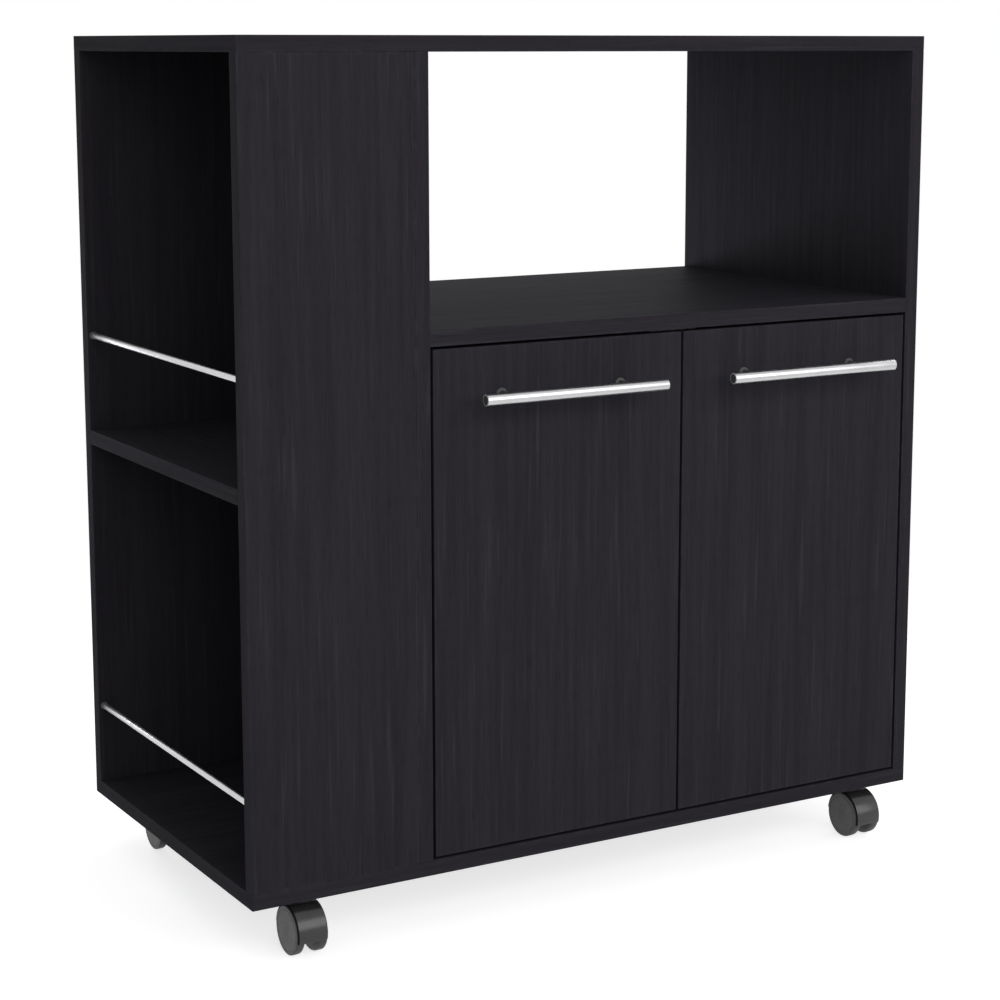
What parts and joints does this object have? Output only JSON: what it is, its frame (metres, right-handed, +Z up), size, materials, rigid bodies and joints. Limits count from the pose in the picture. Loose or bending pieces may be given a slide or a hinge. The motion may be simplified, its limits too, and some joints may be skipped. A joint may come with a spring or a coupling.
{
  "type": "microwave stand",
  "caption": "Rolling kitchen microwave stand: open microwave bay over a cabinet with hinged doors, an open side bay with guard rails, and swivel casters under a board carcass.",
  "frame": {"origin": "on the floor, midway between the sides and between the handle fronts and the back", "axes": "+Z up, +X to the right seen from the front, the doors face -Y"},
  "size_m": [0.82, 0.476, 0.908],
  "materials": {
    "board_laminate": "dark wenge laminate, satin",
    "back_board": "thin dark hardboard",
    "dowel_wood": "raw beech",
    "chrome_rail": "polished",
    "ferrule_dark": "dark moulded collar",
    "handle_metal": "satin",
    "hinge_steel": "nickel plated",
    "screw_steel": "zinc plated",
    "catch_plastic": "dark moulded",
    "caster_plastic": "black moulded, semi gloss"
  },
  "bodies": {
    "carcass": {"top_panel": "board_laminate", "bottom_panel": "board_laminate", "right_side_panel": "board_laminate", "divider_panel": "board_laminate", "left_front_panel": "board_laminate", "left_rear_panel": "board_laminate", "left_bay_shelf": "board_laminate", "microwave_shelf": "board_laminate", "cabinet_back_panel": "back_board", "cabinet_inner_shelf": "board_laminate", "shelf_pins": "screw_steel", "carcass_dowels": "dowel_wood", "upper_guard_rail": "chrome_rail", "lower_guard_rail": "chrome_rail", "rail_ferrules": "ferrule_dark", "door_catch": "catch_plastic", "catch_screws": "screw_steel", "hinge_mounting_plates": "hinge_steel", "hinge_plate_screws": "screw_steel", "left_hinge_arms": "hinge_steel", "right_hinge_arms": "hinge_steel", "caster_stems": "screw_steel", "caster_screws": "screw_steel", "front_left_caster_plate": "hinge_steel", "front_right_caster_plate": "hinge_steel", "rear_left_caster_plate": "hinge_steel", "rear_right_caster_plate": "hinge_steel"},
    "left_door": {"left_door": "board_laminate", "left_handle_bar": "handle_metal", "left_handle_posts": "handle_metal", "left_handle_screws": "screw_steel", "left_hinge_cups": "hinge_steel", "left_hinge_cup_screws": "screw_steel", "left_hinge_pins": "screw_steel", "left_door_strike": "screw_steel"},
    "right_door": {"right_door": "board_laminate", "right_handle_bar": "handle_metal", "right_handle_posts": "handle_metal", "right_handle_screws": "screw_steel", "right_hinge_cups": "hinge_steel", "right_hinge_cup_screws": "screw_steel", "right_hinge_pins": "screw_steel", "right_door_strike": "screw_steel"},
    "front_left_caster": {"front_left_caster_hood": "caster_plastic", "front_left_caster_axle": "screw_steel"},
    "front_left_caster_left_wheel": {"front_left_caster_left_wheel": "caster_plastic"},
    "front_left_caster_right_wheel": {"front_left_caster_right_wheel": "caster_plastic"},
    "front_right_caster": {"front_right_caster_hood": "caster_plastic", "front_right_caster_axle": "screw_steel"},
    "front_right_caster_left_wheel": {"front_right_caster_left_wheel": "caster_plastic"},
    "front_right_caster_right_wheel": {"front_right_caster_right_wheel": "caster_plastic"},
    "rear_left_caster": {"rear_left_caster_hood": "caster_plastic", "rear_left_caster_axle": "screw_steel"},
    "rear_left_caster_left_wheel": {"rear_left_caster_left_wheel": "caster_plastic"},
    "rear_left_caster_right_wheel": {"rear_left_caster_right_wheel": "caster_plastic"},
    "rear_right_caster": {"rear_right_caster_hood": "caster_plastic", "rear_right_caster_axle": "screw_steel"},
    "rear_right_caster_left_wheel": {"rear_right_caster_left_wheel": "caster_plastic"},
    "rear_right_caster_right_wheel": {"rear_right_caster_right_wheel": "caster_plastic"}
  },
  "joints": [
    {"name": "left_door_hinge", "type": "hinge", "parent": "carcass", "child": "left_door", "pos_m": [-0.191, -0.1895, 0.339], "axis": [0, 0, -1], "range_deg": [0, 100]},
    {"name": "right_door_hinge", "type": "hinge", "parent": "carcass", "child": "right_door", "pos_m": [0.377, -0.1895, 0.339], "axis": [0, 0, 1], "range_deg": [0, 100]},
    {"name": "front_left_caster_swivel", "type": "hinge", "parent": "carcass", "child": "front_left_caster", "pos_m": [-0.35, -0.16, 0.058], "axis": [0, 0, 1], "continuous": true},
    {"name": "front_left_caster_left_wheel_roll", "type": "hinge", "parent": "front_left_caster", "child": "front_left_caster_left_wheel", "pos_m": [-0.35, -0.1825, 0.025], "axis": [1, 0, 0], "continuous": true},
    {"name": "front_left_caster_right_wheel_roll", "type": "hinge", "parent": "front_left_caster", "child": "front_left_caster_right_wheel", "pos_m": [-0.35, -0.1825, 0.025], "axis": [1, 0, 0], "continuous": true},
    {"name": "front_right_caster_swivel", "type": "hinge", "parent": "carcass", "child": "front_right_caster", "pos_m": [0.35, -0.16, 0.058], "axis": [0, 0, 1], "continuous": true},
    {"name": "front_right_caster_left_wheel_roll", "type": "hinge", "parent": "front_right_caster", "child": "front_right_caster_left_wheel", "pos_m": [0.35, -0.1825, 0.025], "axis": [1, 0, 0], "continuous": true},
    {"name": "front_right_caster_right_wheel_roll", "type": "hinge", "parent": "front_right_caster", "child": "front_right_caster_right_wheel", "pos_m": [0.35, -0.1825, 0.025], "axis": [1, 0, 0], "continuous": true},
    {"name": "rear_left_caster_swivel", "type": "hinge", "parent": "carcass", "child": "rear_left_caster", "pos_m": [-0.35, 0.2, 0.058], "axis": [0, 0, 1], "continuous": true},
    {"name": "rear_left_caster_left_wheel_roll", "type": "hinge", "parent": "rear_left_caster", "child": "rear_left_caster_left_wheel", "pos_m": [-0.35, 0.1775, 0.025], "axis": [1, 0, 0], "continuous": true},
    {"name": "rear_left_caster_right_wheel_roll", "type": "hinge", "parent": "rear_left_caster", "child": "rear_left_caster_right_wheel", "pos_m": [-0.35, 0.1775, 0.025], "axis": [1, 0, 0], "continuous": true},
    {"name": "rear_right_caster_swivel", "type": "hinge", "parent": "carcass", "child": "rear_right_caster", "pos_m": [0.35, 0.2, 0.058], "axis": [0, 0, 1], "continuous": true},
    {"name": "rear_right_caster_left_wheel_roll", "type": "hinge", "parent": "rear_right_caster", "child": "rear_right_caster_left_wheel", "pos_m": [0.35, 0.1775, 0.025], "axis": [1, 0, 0], "continuous": true},
    {"name": "rear_right_caster_right_wheel_roll", "type": "hinge", "parent": "rear_right_caster", "child": "rear_right_caster_right_wheel", "pos_m": [0.35, 0.1775, 0.025], "axis": [1, 0, 0], "continuous": true}
  ]
}
